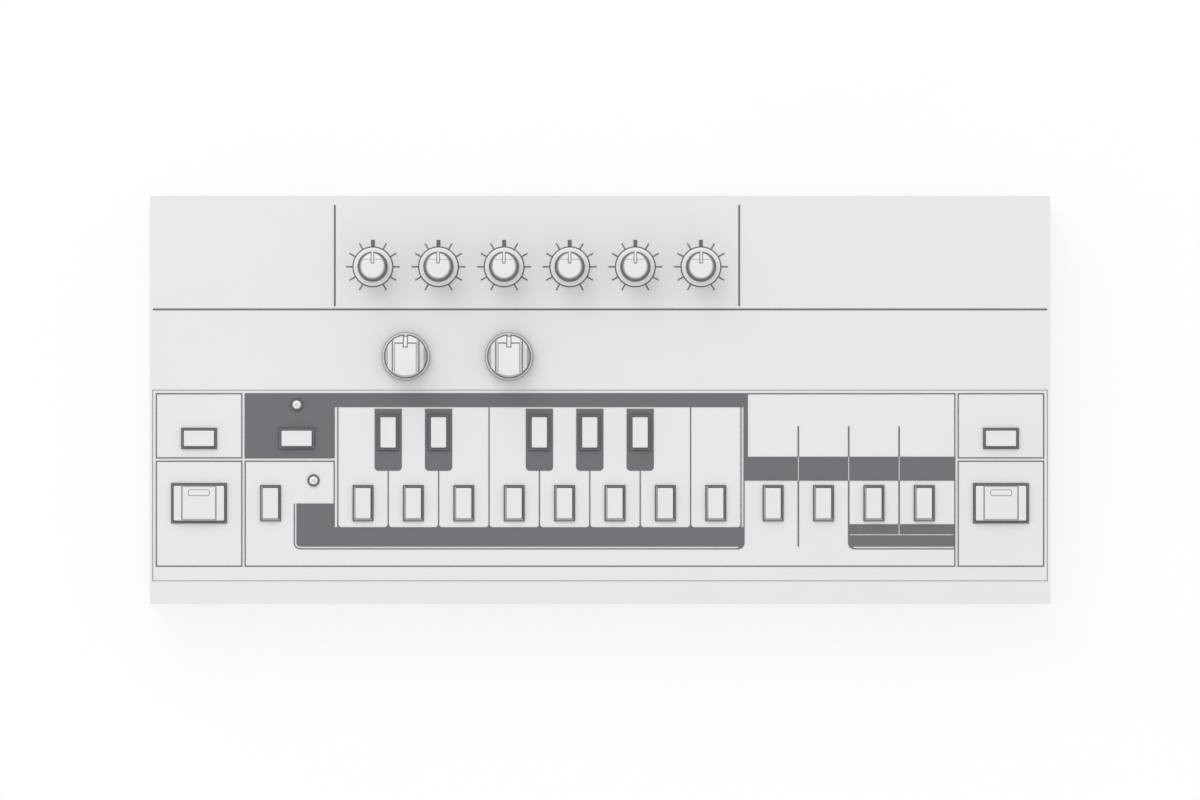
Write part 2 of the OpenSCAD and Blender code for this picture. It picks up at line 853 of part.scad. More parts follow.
// The dark ground under the keys with a block at its left end. A pale line
// and a fine outline run round its left and front edges.
module key_ground() {
    block_x = field_x - block_w;
    difference() {
        union() {
            tab(
                block_x - ground_edge, ground_v - ground_edge,
                strip_x + line_w, key_low, ground_round + ground_edge
            );
            area(block_x - ground_edge, key_low - 1, field_x, ground_v + block_len);
        }
        difference() {
            tab(block_x - inline_gap, ground_v - inline_gap, key_right, key_top, ground_round + inline_gap);
            tab(block_x, ground_v, mid_x, key_top, ground_round);
        }
    }
}

// The dark ground in front of the two right function buttons
module step_ground() {
    ground_x = right_left + 2 * key_w - divider_w / 2;
    outline_v = ground_v - ground_edge;
    difference() {
        union() {
            tab(ground_x, outline_v, mid_x, key_low + 1, ground_round + ground_edge);
            area(mid_x - key_w / 2, outline_v, mid_x, key_low);
        }
        difference() {
            tab(ground_x + ground_edge, ground_v - inline_gap, case_w, key_top, ground_round + inline_gap);
            area(ground_x, ground_v, case_w, key_top);
        }
    }
}

module film_dark() {
    for (flip = [0, 1])
        mirror([flip, 0]) {
            frame(side_x0, box_v0, side_x1, box_v1);
            frame(side_x0, box_v2, side_x1, box_v3);
        }
    across(-mid_x, mid_x, box_v0);
    across(-mid_x, field_x - line_w / 2, box_v1);
    upright(-mid_x, box_v0, box_v1);
    upright(field_x - line_w / 2, key_low, box_v1);
    upright(mid_x, box_v0, box_v3);
    across(right_left, mid_x, box_v3);
    area(-mid_x - line_w / 2, box_v2 - line_w / 2, field_x, print_high);
    area(-mid_x - line_w / 2, key_top, right_left, print_high);
    area(strip_x, band_low, right_left, print_high);
    area(strip_x, band_low, mid_x, band_low + band_len);
    upright(strip_x + line_w / 2, key_low - 1, band_low + 1);
    key_ground();
    step_ground();
    white_keys();
    for (b = black_names) {
        x = key_x + b[1] * key_w;
        tab(x - black_w / 2, key_top - black_len, x + black_w / 2, key_top - black_gap, black_round);
    }
    upright(right_left + key_w, key_low - ground_len, divider_high, divider_w);
    upright(right_left + 2 * key_w, key_low, divider_high, divider_w);
    upright(right_left + 3 * key_w, key_low, divider_high, divider_w);
}

// Pale lines left free where the dividers cross the dark areas
module film_pale() {
    hair_v = key_low - 2.5;
    for (i = [1:3])
        upright(right_left + i * key_w, band_low, band_low + band_len, hair_w);
    translate([0, hair_v - hair_w / 2])
        area(right_left + 2 * key_w + divider_w / 2, 0, mid_x - line_w, hair_w);
    upright(right_left + 3 * key_w, hair_v, key_low + 1, hair_w);
}

module panel_film() {
    color(print_grey)
        on_top()
            difference() {
                translate([0, 0, fascia_top])
                    linear_extrude(height = film_t)
                        difference() {
                            film_dark();
                            film_pale();
                        }
                collar_windows(fascia_top - 1, film_top + 1);
            }
}

module case_print() {
    rule_v = fascia_end + rule_off;
    rule_end_v = case_len - rule_end;
    upright_v = rule_v + rule_w + rule_gap;
    color(print_grey)
        on_top()
            linear_extrude(height = ink_t) {
                translate([-half_w + 1, rule_v])
                    square([case_w - 2, rule_w]);
                for (x = [field_x, key_right - rule_w])
                    translate([x - rule_w / 2, upright_v])
                        square([rule_w, rule_end_v - upright_v]);
                for (k = KNOBS)
                    translate([k[0], k[1]])
                        dial();
            }
}

// Eleven marks round a small knob and the ring at its foot
module dial() {
    difference() {
        circle(r = skirt_r + tick_w);
        circle(r = skirt_r);
    }
    for (a = [-150:30:150])
        rotate(-a)
            translate([-(a == 0 ? top_tick_w : tick_w) / 2, tick_r])
                square([a == 0 ? top_tick_w : tick_w, tick_len]);
}

module button_carrier() {
    pad_x = window_x - fascia_gap;
    color(print_grey)
        difference() {
            on_top()
                difference() {
                    union() {
                        translate([-pad_x, window_v0 + fascia_gap, carrier_low])
                            cube([2 * pad_x, window_v1 - window_v0 - 2 * fascia_gap, seat - carrier_low]);
                        translate([-window_x - 1, window_v0 - carrier_lap, carrier_low])
                            cube([2 * window_x + 2, window_v1 - window_v0 + 2 * carrier_lap, carrier_t]);
                        for (b = BUTTONS)
                            translate([b[1], b[2], 0])
                                block(grown(b[3], cap_gap + collar_t), carrier_low, collar_rise);
                        for (p = LAMPS)
                            translate([p[0], p[1], 0])
                                rod(lamp_collar_r, carrier_low, collar_rise);
                        for (s = STANDOFFS)
                            translate([s[0], s[1], 0])
                                rod(standoff_r, board_top, carrier_low + 1);
                        for (e = EARS)
                            carrier_ear(e);
                    }
                    for (b = BUTTONS)
                        translate([b[1], b[2], 0])
                            block(grown(b[3], cap_gap), carrier_low - 1, collar_rise + 1);
                    for (p = LAMPS)
                        translate([p[0], p[1], 0])
                            rod(lamp_r + lamp_gap, carrier_low - 1, collar_rise + 1);
                    for (s = STANDOFFS)
                        translate([s[0], s[1], 0])
                            rod(screw_r + screw_fit, board_top - 1, board_top + board_screw_len);
                    for (e = EARS)
                        translate([e[0], e[1], 0])
                            rod(screw_r + loose, carrier_low - 1, ledge_low + 1);
                }
            posts(post_r + post_gap, split_z, rear_z);
        }
}

// A lug of the carrier's plate that takes a screw beyond the ledge
module carrier_ear(e) {
    edge_v = e[1] < window_v0 ? window_v0 : window_v1;
    translate([e[0], e[1], 0])
        rod(ear_r - 0.1, carrier_low, ledge_low);
    translate([e[0] - ear_r + 0.1, min(e[1], edge_v), carrier_low])
        cube([2 * ear_r - 0.2, abs(edge_v - e[1]), carrier_t]);
}

module switch_board() {
    color(board_green)
        on_top()
            difference() {
                translate([-switch_board_x, switch_board_v, board_low])
                    cube([2 * switch_board_x, switch_board_end - switch_board_v, board_t]);
                for (s = STANDOFFS)
                    translate([s[0], s[1], 0])
                        rod(screw_r + loose, board_low - 1, board_top + 1);
            }
}

module tact_switches() {
    color("black")
        for (b = BUTTONS)
            at([b[1], b[2]])
                difference() {
                    block([switch_w, switch_w], board_top, switch_top);
                    rod(stem_r + 0.15, switch_top - well_depth, switch_top + 1);
                }
}

module round_leds() {
    dome = lamp_r;
    color("indianred")
        for (p = LAMPS)
            at(p) {
                rod(lamp_r, flange_top - eps, collar_rise + 0.4 - dome);
                translate([0, 0, collar_rise + 0.4 - dome])
                    sphere(r = dome);
                rod(lamp_r + 0.4, flange_low, flange_top - eps);
                for (side = [-1, 1])
                    translate([side * 1.1, 0, 0])
                        block([0.5, 0.5], board_top, flange_low + eps);
            }
}

module main_board() {
    color(board_green)
        on_top()
            difference() {
                translate([-switch_board_x, main_board_v0, board_low])
                    cube([2 * switch_board_x, main_board_v1 - main_board_v0, board_t]);
                for (b = BOSSES)
                    translate([b[0], b[1], 0])
                        rod(screw_r + loose, board_low - 1, board_top + 1);
            }
}

module potentiometers() {
    color(metal_grey)
        for (k = KNOBS)
            at(k)
                difference() {
                    union() {
                        block([pot_w, pot_w + 1], board_top, control_top);
                        rod(bushing_r, control_top - 1, knob_low - 0.4);
                    }
                    rod(shaft_r + shaft_fit, control_top - shaft_deep - shaft_gap, knob_low + 1);
                }
}

module rotary_switches() {
    color(metal_grey)
        for (s = SELECTORS)
            at(s)
                difference() {
                    union() {
                        rod(rotary_r, board_top, control_top);
                        rod(bushing_r, control_top - 1, knob_low - 0.4);
                    }
                    rod(shaft_r + shaft_fit, control_top - shaft_deep - shaft_gap, knob_low + 1);
                }
}

// A shaft with a flat along its upper end
module shaft(point, top) {
    flat_w = 2 * shaft_r;
    color(metal_grey)
        at(point)
            difference() {
                rod(shaft_r, control_top - shaft_deep, top);
                translate([-flat_w / 2, shaft_r - shaft_flat, knob_low + 1])
                    cube([flat_w, shaft_flat + 1, top]);
            }
}

// The hole in a knob that takes its shaft and the shaft's flat
module shaft_bore(top) {
    r = shaft_r + 0.03;
    difference() {
        rod(r, knob_low - 1, top);
        translate([-r, r - shaft_flat, knob_low + 1])
            cube([2 * r, shaft_flat + 1, top]);
    }
}

module knob(i) {
    top = knob_low + knob_h;
    color(print_grey)
        at(KNOBS[i])
            difference() {
                union() {
                    rod(skirt_r, knob_low, knob_low + skirt_t);
                    translate([0, 0, knob_low + skirt_t - eps])
                        cylinder(r1 = knob_r, r2 = knob_r - knob_taper, h = knob_h - skirt_t - 0.4);
                    rod(inlay_r, knob_low + 1, top);
                }
                shaft_bore(top - bore_cap);
                translate([-0.5, 0.8, top - 0.5])
                    cube([1, knob_r, 1]);
            }
}

module selector(i) {
    top = knob_low + selector_h;
    disc_top = knob_low + selector_disc_t;
    color(print_grey)
        at(SELECTORS[i])
            difference() {
                union() {
                    rod(selector_r, knob_low, disc_top);
                    intersection() {
                        rod(selector_r - 1, knob_low, top);
                        union() {
                            block([step_w, 2 * selector_r], disc_top - 1, disc_top + step_h);
                            block([grip_w, 2 * selector_r], disc_top - 1, top);
                        }
                    }
                }
                shaft_bore(top - bore_cap - 1);
                translate([-0.5, 3.2, top - 0.6])
                    cube([1, selector_r, 1]);
            }
}

// A panel jack: body under the board and nose through the rear wall
module jack(x, w, len, nose_r, bore_r) {
    body_v1 = case_len - wall;
    body_low = socket_w - w / 2 + 0.5;
    difference() {
        union() {
            on_top()
                translate([x - w / 2, body_v1 - len, body_low])
                    cube([w, len, board_low - body_low]);
            rear_rod(x, nose_r, body_v1 - 1, case_len - nose_sink);
        }
        rear_rod(x, bore_r, body_v1 - len + socket_back, case_len + 1);
    }
}

module audio_jacks() {
    color(metal_grey)
        for (i = [0:1]) {
            jack(jack_places[i], jack_w, jack_len, jack_nose_r, jack_bore_r);
            jack(mini_places[i], mini_w, mini_len, mini_nose_r, mini_bore_r);
        }
}

module dc_socket() {
    body_v1 = case_len - wall;
    body_w = 2 * dc_nose_r;
    color("dimgray") {
        difference() {
            union() {
                on_top()
                    translate([dc_place - body_w / 2, body_v1 - dc_len, socket_w - body_w / 2])
                        cube([body_w, dc_len, board_low - socket_w + body_w / 2]);
                rear_rod(dc_place, dc_nose_r, body_v1 - 1, case_len - nose_sink);
            }
            rear_rod(dc_place, dc_bore_r, body_v1 - dc_len + socket_back, case_len + 1);
        }
        rear_rod(dc_place, dc_pin_r, body_v1 - dc_len + 1, pin_v1);
    }
}

// A header under each board and the flat cable looped between them
module ribbon_cable() {
    cable_x = -cable_off * spread;
    header = [18, 4];
    header_low = board_low - header[1];
    loop_r = (board_gap + 6) / 2;
    color("gray") {
        for (v = [switch_board_end - 3, main_board_v0 + 3])
            at([cable_x, v])
                block(header, header_low, board_low);
        on_top()
            intersection() {
                translate([cable_x - 8, switch_board_end + board_gap / 2, header_low])
                    rotate([0, 90, 0])
                        difference() {
                            cylinder(r = loop_r + 0.4, h = 16);
                            translate([0, 0, -1])
                                cylinder(r = loop_r - 0.4, h = 18);
                        }
                translate([cable_x - header[0], 0, header_low - 2 * loop_r])
                    cube([2 * header[0], case_len, 2 * loop_r]);
            }
    }
}

// A pan-head screw driven upwards, its head's seat at zero, with a cross
module screw(len) {
    difference() {
        union() {
            rod(screw_head_r, -screw_head_t, 0);
            rod(screw_r, -eps, len);
        }
        for (a = [0, 90])
            rotate(a)
                block([screw_head_r * 1.3, 0.6], -screw_head_t - 1, -screw_head_t + 0.8);
    }
}

module screws() {
    color(metal_grey) {
        for (p = POSTS)
            translate([p[0], p[1], post_screw_z])
                screw(post_screw_len);
        for (s = STANDOFFS)
            at(s)
                translate([0, 0, board_low])
                    screw(board_t + board_screw_len - hole_spare);
        for (b = BOSSES)
            at(b)
                translate([0, 0, board_low])
                    screw(board_t + board_screw_len - hole_spare);
        for (e = EARS)
            at(e)
                translate([0, 0, carrier_low])
                    screw(ear_screw_len);
    }
}

// A push button: cap, flange under the carrier and stem in the switch
module button(b) {
    size = b[3];
    is_large = size == large;
    color(case_grey)
        at([b[1], b[2]])
            difference() {
                union() {
                    block(size, flange_low, cap_rise);
                    block(grown(size, flange_w), flange_low, flange_top);
                    rod(stem_r, stem_low, flange_low + eps);
                    if (is_large)
                        block([pad_w, large_len], flange_low, cap_rise + pad_h);
                }
                if (is_large)
                    lens_form(0.05, cap_rise + pad_h - lens_t, cap_rise + pad_h + 1);
            }
}

// The lens's outline with round corners, and its pocket a little larger
module lens_form(grow, low, high) {
    r = lens_round + grow;
    reach = grown([lens_len / 2, lens_w / 2], -lens_round / 2);
    translate([0, lens_off, 0]) {
        block([2 * reach[0], lens_w + 2 * grow], low, high);
        block([lens_len + 2 * grow, 2 * reach[1]], low, high);
        for (x = [-reach[0], reach[0]], y = [-reach[1], reach[1]])
            translate([x, y, 0])
                rod(r, low, high);
    }
}

module lens(i) {
    color("white")
        at([large_buttons[i][1], large_buttons[i][2]])
            lens_form(0, cap_rise + pad_h - lens_t, cap_rise + pad_h);
}

top_case();
bottom_case();
fascia_plate();
panel_film();
case_print();
button_carrier();
switch_board();
tact_switches();
round_leds();
main_board();
potentiometers();
rotary_switches();
audio_jacks();
dc_socket();
ribbon_cable();
battery_contacts();
battery_door();
feet();
screws();
for (b = BUTTONS)
    button(b);
for (i = [0:1]) {
    lens(i);
    selector(i);
    shaft(SELECTORS[i], knob_low + selector_h - bore_cap - 1 - shaft_gap);
}
for (i = [0:5]) {
    knob(i);
    shaft(KNOBS[i], knob_low + knob_h - bore_cap - shaft_gap);
}
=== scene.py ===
from math import asin, cos, pi, radians, sin, tan

import bmesh
import bpy
from mathutils import Matrix, Vector


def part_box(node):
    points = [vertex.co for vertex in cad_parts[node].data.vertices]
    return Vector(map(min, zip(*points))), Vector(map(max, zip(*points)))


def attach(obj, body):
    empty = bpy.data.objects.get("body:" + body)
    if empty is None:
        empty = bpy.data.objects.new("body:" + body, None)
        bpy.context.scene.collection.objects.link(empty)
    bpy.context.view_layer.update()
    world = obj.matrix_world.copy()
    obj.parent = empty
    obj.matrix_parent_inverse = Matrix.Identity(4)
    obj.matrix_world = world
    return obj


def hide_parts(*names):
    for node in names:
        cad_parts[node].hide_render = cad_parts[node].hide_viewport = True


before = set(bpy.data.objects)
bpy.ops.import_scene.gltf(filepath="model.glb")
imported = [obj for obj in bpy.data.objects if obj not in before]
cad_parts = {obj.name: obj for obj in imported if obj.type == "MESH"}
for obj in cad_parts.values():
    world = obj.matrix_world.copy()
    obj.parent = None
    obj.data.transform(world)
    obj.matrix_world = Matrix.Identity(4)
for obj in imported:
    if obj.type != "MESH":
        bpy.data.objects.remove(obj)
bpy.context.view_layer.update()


# Upper case half: an injection moulding in pale grey ABS with a fine spark-eroded
# skin. Its top slopes six degrees towards the player, and every control is placed
# by width, length and height on that slope, in millimetres.
tilt = radians(6)
front_height = 0.028
millimetres = Matrix.Diagonal((0.001, 0.001, 0.001, 1))
slope = (
    Matrix.Translation((0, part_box("top_case")[0].y, front_height))
    @ Matrix.Rotation(tilt, 4, "X")
    @ millimetres
)
off_slope = slope.inverted()
edge_angle = radians(38)


def slope_points(node):
    """A CAD piece's points along the slope, in millimetres."""
    return [off_slope @ v.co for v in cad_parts[node].data.vertices]


def slope_box(node):
    """Lowest and highest corner of a CAD piece along the slope, in millimetres."""
    points = slope_points(node)
    return [Vector([pick(p[i] for p in points) for i in range(3)]) for pick in (min, max)]


def finish(name, colour, roughness, grain=4000, depth=0.02, mottle=0.03, **sockets):
    """A moulded or painted skin: fine grain of some depth in millimetres, faint
    cloudiness in the colour and a sheen that varies a little from place to place."""
    sheen_spread = 0.06
    mat = bpy.data.materials.new(name)
    mat.use_nodes = True
    nodes, links = mat.node_tree.nodes, mat.node_tree.links
    shader = nodes["Principled BSDF"]
    for socket, value in sockets.items():
        shader.inputs[socket.replace("_", " ")].default_value = value
    place = nodes.new("ShaderNodeTexCoord")
    cloud = nodes.new("ShaderNodeTexNoise")
    cloud.inputs["Scale"].default_value = 45
    cloud.inputs["Detail"].default_value = 3
    links.new(place.outputs["Object"], cloud.inputs["Vector"])
    tint = nodes.new("ShaderNodeMix")
    tint.data_type = "RGBA"
    tint.inputs["A"].default_value = [c * (1 - mottle) for c in colour] + [1]
    tint.inputs["B"].default_value = [min(1, c * (1 + mottle)) for c in colour] + [1]
    links.new(cloud.outputs["Fac"], tint.inputs["Factor"])
    links.new(tint.outputs["Result"], shader.inputs["Base Color"])
    skin = nodes.new("ShaderNodeTexNoise")
    skin.inputs["Scale"].default_value = grain
    skin.inputs["Detail"].default_value = 2
    links.new(place.outputs["Object"], skin.inputs["Vector"])
    sheen = nodes.new("ShaderNodeMapRange")
    sheen.inputs["To Min"].default_value = roughness - sheen_spread
    sheen.inputs["To Max"].default_value = roughness + sheen_spread
    links.new(skin.outputs["Fac"], sheen.inputs["Value"])
    links.new(sheen.outputs["Result"], shader.inputs["Roughness"])
    bump = nodes.new("ShaderNodeBump")
    bump.inputs["Strength"].default_value = 0.5
    bump.inputs["Distance"].default_value = depth / 1000
    links.new(skin.outputs["Fac"], bump.inputs["Height"])
    links.new(bump.outputs["Normal"], shader.inputs["Normal"])
    return mat


def dress(node, mat, edge=0.0):
    """Gives a CAD piece its finish and rounds its sharp edges, by this much at most.
    A mesh's shortest edge holds it back, on the upper case to almost nothing."""
    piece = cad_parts[node]
    piece.data.materials.clear()
    piece.data.materials.append(mat)
    if edge:
        weld = piece.modifiers.new("welded", "WELD")
        weld.merge_threshold = 0.000002
        rounding = piece.modifiers.new("edges", "BEVEL")
        rounding.limit_method = "ANGLE"
        rounding.angle_limit = edge_angle
        rounding.width = edge / 1000
        rounding.segments = 2
        rounding.use_clamp_overlap = True
        rounding.miter_outer = "MITER_ARC"
        shading = piece.modifiers.new("shading", "WEIGHTED_NORMAL")
        shading.keep_sharp = True


case_grey = (0.79, 0.79, 0.79)
case_skin = finish(
    "case_abs", case_grey, 0.5, grain=3200, depth=0.03, mottle=0.02, Specular_IOR_Level=0.3
)
dress("top_case", case_skin, 0.25)


# Lower case half and battery door: mouldings of the same ABS. The halves meet on a
# lip inside, and the groove between them hides the parting line.
dress("bottom_case", case_skin, 0.25)
dress("battery_door", case_skin, 0.2)


# Fascia: a stamped aluminium sheet let into the case top, sprayed with satin
# lacquer. It lies three tenths of a millimetre below the case skin.
lacquer = finish(
    "satin_lacquer", case_grey, 0.42, grain=9000, depth=0.006, mottle=0.012,
    Specular_IOR_Level=0.3
)
dress("fascia_plate", lacquer)


# Print: dark grey screen ink, for the key field on the fascia and for the rules and
# dial marks on the case top. The ink lies matt, with a faint weave from the mesh.
def ink(name, colour):
    """Matt ink with the weave of the printing screen in its surface."""
    mat = finish(name, colour, 0.62, grain=5200, depth=0.01, mottle=0.04, Specular_IOR_Level=0.2)
    nodes, links = mat.node_tree.nodes, mat.node_tree.links
    weave = nodes.new("ShaderNodeTexWave")
    weave.inputs["Scale"].default_value = 900
    weave.inputs["Distortion"].default_value = 0.4
    place = next(n for n in nodes if n.type == "TEX_COORD")
    links.new(place.outputs["Object"], weave.inputs["Vector"])
    bump = next(n for n in nodes if n.type == "BUMP")
    threads = nodes.new("ShaderNodeBump")
    threads.inputs["Strength"].default_value = 0.15
    threads.inputs["Distance"].default_value = 0.00001
    links.new(weave.outputs["Fac"], threads.inputs["Height"])
    links.new(bump.outputs["Normal"], threads.inputs["Normal"])
    links.new(threads.outputs["Normal"], nodes["Principled BSDF"].inputs["Normal"])
    return mat


dark_grey = (0.158, 0.161, 0.173)
dark_ink = ink("screen_ink", dark_grey)
dress("panel_film", dark_ink)
dress("case_print", dark_ink)


# Button carrier: a dark ABS moulding screwed up under the fascia. Its collars rise
# through the fascia's windows and frame each button.
dark_abs = finish(
    "dark_abs", dark_grey, 0.55, grain=3600, depth=0.015, mottle=0.04, Specular_IOR_Level=0.2
)
dress("button_carrier", dark_abs, 0.1)


# Note and mode buttons: caps moulded in the pale grey, slightly glossier than the
# case, with a shallow dish on top, a flange that keeps them in and a round stem.
cap_grey = (0.785, 0.785, 0.785)
cap_plastic = finish(
    "cap_plastic", cap_grey, 0.36, grain=7000, depth=0.006, mottle=0.015, Specular_IOR_Level=0.35
)


def rounded(width, length, corner, steps=5, centre=(0, 0)):
    """Outline of a rectangle with round corners."""
    outline = []
    for turn, sx, sy in ((0, 1, 1), (1, -1, 1), (2, -1, -1), (3, 1, -1)):
        cx = centre[0] + sx * (width / 2 - corner)
        cy = centre[1] + sy * (length / 2 - corner)
        for i in range(steps + 1):
            a = (turn + i / steps) * pi / 2
            outline.append((cx + corner * cos(a), cy + corner * sin(a)))
    return outline


def loft(shape, rings, mat=0):
    """Adds a solid through outlines of as many points each, from the lowest up. A ring
    may carry the material of the skin below it. Gives back the upper face."""
    loops = [[shape.verts.new((x, y, ring[1])) for x, y in ring[0]] for ring in rings]
    for a, b, ring in zip(loops, loops[1:], rings[1:]):
        for i in range(len(a)):
            j = (i + 1) % len(a)
            side = shape.faces.new((a[i], a[j], b[j], b[i]))
            side.material_index = ring[2] if len(ring) > 2 else mat
    shape.faces.new(loops[0][::-1]).material_index = mat
    top = shape.faces.new(loops[-1])
    top.material_index = rings[-1][2] if len(rings[-1]) > 2 else mat
    return top


def plate(shape, outline, low, high, mat=0):
    """Adds an outline drawn up into a solid, and gives back its upper face."""
    return loft(shape, [(outline, low), (outline, high)], mat)


def circle(radius, steps=64, centre=(0, 0)):
    """Outline of a circle."""
    turns = [2 * pi * i / steps for i in range(steps)]
    return [(centre[0] + radius * cos(a), centre[1] + radius * sin(a)) for a in turns]


def turned(shape, profile, steps=64, mat=0, along=0.0):
    """Adds a form turned on an upright axis from points of radius, height and, where
    the skin below a point has one of its own, material."""
    loft(shape, [(circle(r, steps, (0, along)), z, *own) for r, z, *own in profile], mat)


def moved(shape, count, place):
    """Moves what the form has gained since it had that many points."""
    shape.verts.ensure_lookup_table()
    for v in shape.verts[count:]:
        v.co = place @ v.co


def settle(shape, name, place, mats, node, body, edge=0.0, sharp=35):
    """Makes the piece from its form, at its place, in its CAD node's stead."""
    bmesh.ops.recalc_face_normals(shape, faces=shape.faces)
    shape.transform(place)
    mesh = bpy.data.meshes.new(name)
    shape.to_mesh(mesh)
    shape.free()
    for mat in mats:
        mesh.materials.append(mat)
    mesh.shade_smooth()
    mesh.set_sharp_from_angle(angle=radians(sharp))
    piece = bpy.data.objects.new(name, mesh)
    bpy.context.scene.collection.objects.link(piece)
    if edge:
        rounding = piece.modifiers.new("edges", "BEVEL")
        rounding.limit_method = "ANGLE"
        rounding.angle_limit = edge_angle
        rounding.width = edge / 1000
        rounding.segments = 3
        rounding.harden_normals = True
    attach(piece, body)
    if node:
        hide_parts(node)
    return piece


flange_w = 0.8
flange_low = -6.4
cap_rim = ((0, 0.45), (0.04, 0.27), (0.13, 0.12), (0.26, 0.03), (0.42, 0))
cap_dish = ((0.62, 0.01), (0.95, 0.07), (1.4, 0.13), (1.9, 0.16))
cap_corner, large_cap_corner = 0.32, 0.4


def cap(shape, low, high, top, corner, edge):
    """Adds a cap with round corners to its top, its flange and the stem below."""
    width, length = high.x - low.x - 2 * flange_w, high.y - low.y - 2 * flange_w
    loft(shape, [(rounded(width, length, corner), flange_low)] + [
        (
            rounded(width - 2 * inwards, length - 2 * inwards, max(0.12, corner - inwards / 3)),
            top - drop
        )
        for inwards, drop in edge
    ])
    flange = rounded(width + 2 * flange_w, length + 2 * flange_w, 0.4)
    plate(shape, flange, flange_low, flange_low + 1)
    turned(shape, [(1.4, low.z), (1.6, low.z + 0.2), (1.6, flange_low + 0.5)], 24)


large_buttons = ("run_stop_button", "write_button")
small_buttons = [
    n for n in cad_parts
    if n.startswith("key_") or n.endswith("_button") and n not in large_buttons
]
for node in small_buttons:
    low, high = slope_box(node)
    shape = bmesh.new()
    cap(shape, low, high, high.z, cap_corner, cap_rim + cap_dish)
    place = slope @ Matrix.Translation(((low.x + high.x) / 2, (low.y + high.y) / 2, 0))
    settle(shape, node + "_cap", place, [cap_plastic], node, node + "_body")


# Shade strips: grey strips with a felt grain along the front and left wall of the low
# row's collars, where they fill the gap round the cap with painted shade.
shade_strip_skin = finish(
    "painted_shade_felt", (0.44, 0.44, 0.45), 0.9, grain=6500, depth=0.05, mottle=0.1,
    Specular_IOR_Level=0.1
)
shape = bmesh.new()
collar_top = slope_box("button_carrier")[1].z
shade_strip_low = collar_top - 0.3
front_w, side_w = 0.6, 0.4
low_row_end = 45
for node in small_buttons:
    low, high = slope_box(node)
    width, length = high.x - low.x, high.y - low.y
    middle = ((low.x + high.x) / 2, (low.y + high.y) / 2)
    if length < width or middle[1] > low_row_end:
        continue
    front = (middle[0] + 0.1, middle[1] - length / 2 + 0.46)
    side = (middle[0] - width / 2 + 0.52, middle[1] + 0.2)
    plate(shape, rounded(width - 1.0, front_w, 0.1, 3, front), shade_strip_low, collar_top + 0.1)
    plate(shape, rounded(side_w, length - 1.1, 0.1, 3, side), shade_strip_low, collar_top + 0.09)
# The strips are painted shade of the caps' sloping front and left sides.
settle(shape, "painted_shade_strips", slope, [shade_strip_skin], None, "case")


# Large buttons: caps of the same plastic with a raised pad in the middle and a fine
# dark line at each side of it. A mid-grey band along the pad's front end is painted
# shade of that edge, and a dark line marks its rear end. A milky lens with round
# corners is pressed into the pad.
line_grey = ink("line_grey", (0.27, 0.272, 0.28))
# Painted shade: the mid-grey for the band along the pad's front end.
pad_front_shade = ink("pad_front_shade", (0.34, 0.342, 0.35))
pale_line = ink("pale_line", (0.46, 0.46, 0.47))
lens_plastic = finish(
    "milky_lens", (0.8, 0.8, 0.8), 0.24, grain=2500, depth=0.002, mottle=0.01,
    Coat_Weight=0.3, Coat_Roughness=0.1
)
pad_w = 10.9
pad_rise = 0.4
line_w = 0.46
lens_ring = 0.25
lens_corner = 0.6
for node in large_buttons:
    low, high = slope_box(node)
    length = high.y - low.y - 2 * flange_w
    middle = ((low.x + high.x) / 2, (low.y + high.y) / 2)
    pad_top = high.z
    cap_top = pad_top - pad_rise
    shape = bmesh.new()
    cap(shape, low, high, cap_top, large_cap_corner, cap_rim)
    loft(shape, [
        (rounded(pad_w - 2 * inwards, length - 0.1 - 2 * inwards, 0.3 - inwards / 2), z)
        for inwards, z in (
            (0, cap_top - 1), (0, pad_top - 0.2), (0.06, pad_top - 0.08),
            (0.2, pad_top - 0.01), (0.3, pad_top - 0.01)
        )
    ])
    for side in (-1, 1):
        foot = (side * (pad_w / 2 + 0.2), 0)
        plate(shape, rounded(line_w, length - 0.24, 0.05, 2, foot), cap_top - 0.3, cap_top + 0.02, 1)
    # The front band in the mid-grey is painted shade. The rear one is a dark line.
    for end, edge_w, mat in ((-1, 0.45, 2), (1, 0.25, 1)):
        lip = (0, end * (length / 2 - 0.1 - edge_w / 2))
        plate(shape, rounded(pad_w - 0.1, edge_w, 0.05, 2, lip), cap_top - 0.3, pad_top - 0.005, mat)
    lens = node.replace("_button", "_lens")
    lens_low, lens_high = slope_box(lens)
    lens_w, lens_len = lens_high.x - lens_low.x, lens_high.y - lens_low.y
    foot = (0, (lens_low.y + lens_high.y) / 2 - middle[1])
    ring = rounded(lens_w + 2 * lens_ring, lens_len + 2 * lens_ring, lens_corner + lens_ring, 8, foot)
    plate(shape, ring, pad_top - 0.5, pad_top, 1)
    place = slope @ Matrix.Translation((*middle, 0))
    settle(
        shape, node + "_cap", place, [cap_plastic, line_grey, pad_front_shade], node, node + "_body"
    )
    shape = bmesh.new()
    loft(shape, [
        (rounded(lens_w - 2 * inwards, lens_len - 2 * inwards, lens_corner - inwards, 8, foot), z)
        for inwards, z in (
            (0, pad_top - 1.5), (0, pad_top), (0.12, pad_top + 0.06), (0.3, pad_top + 0.08)
        )
    ])
    settle(shape, lens + "_bar", place, [lens_plastic], lens, node + "_body")


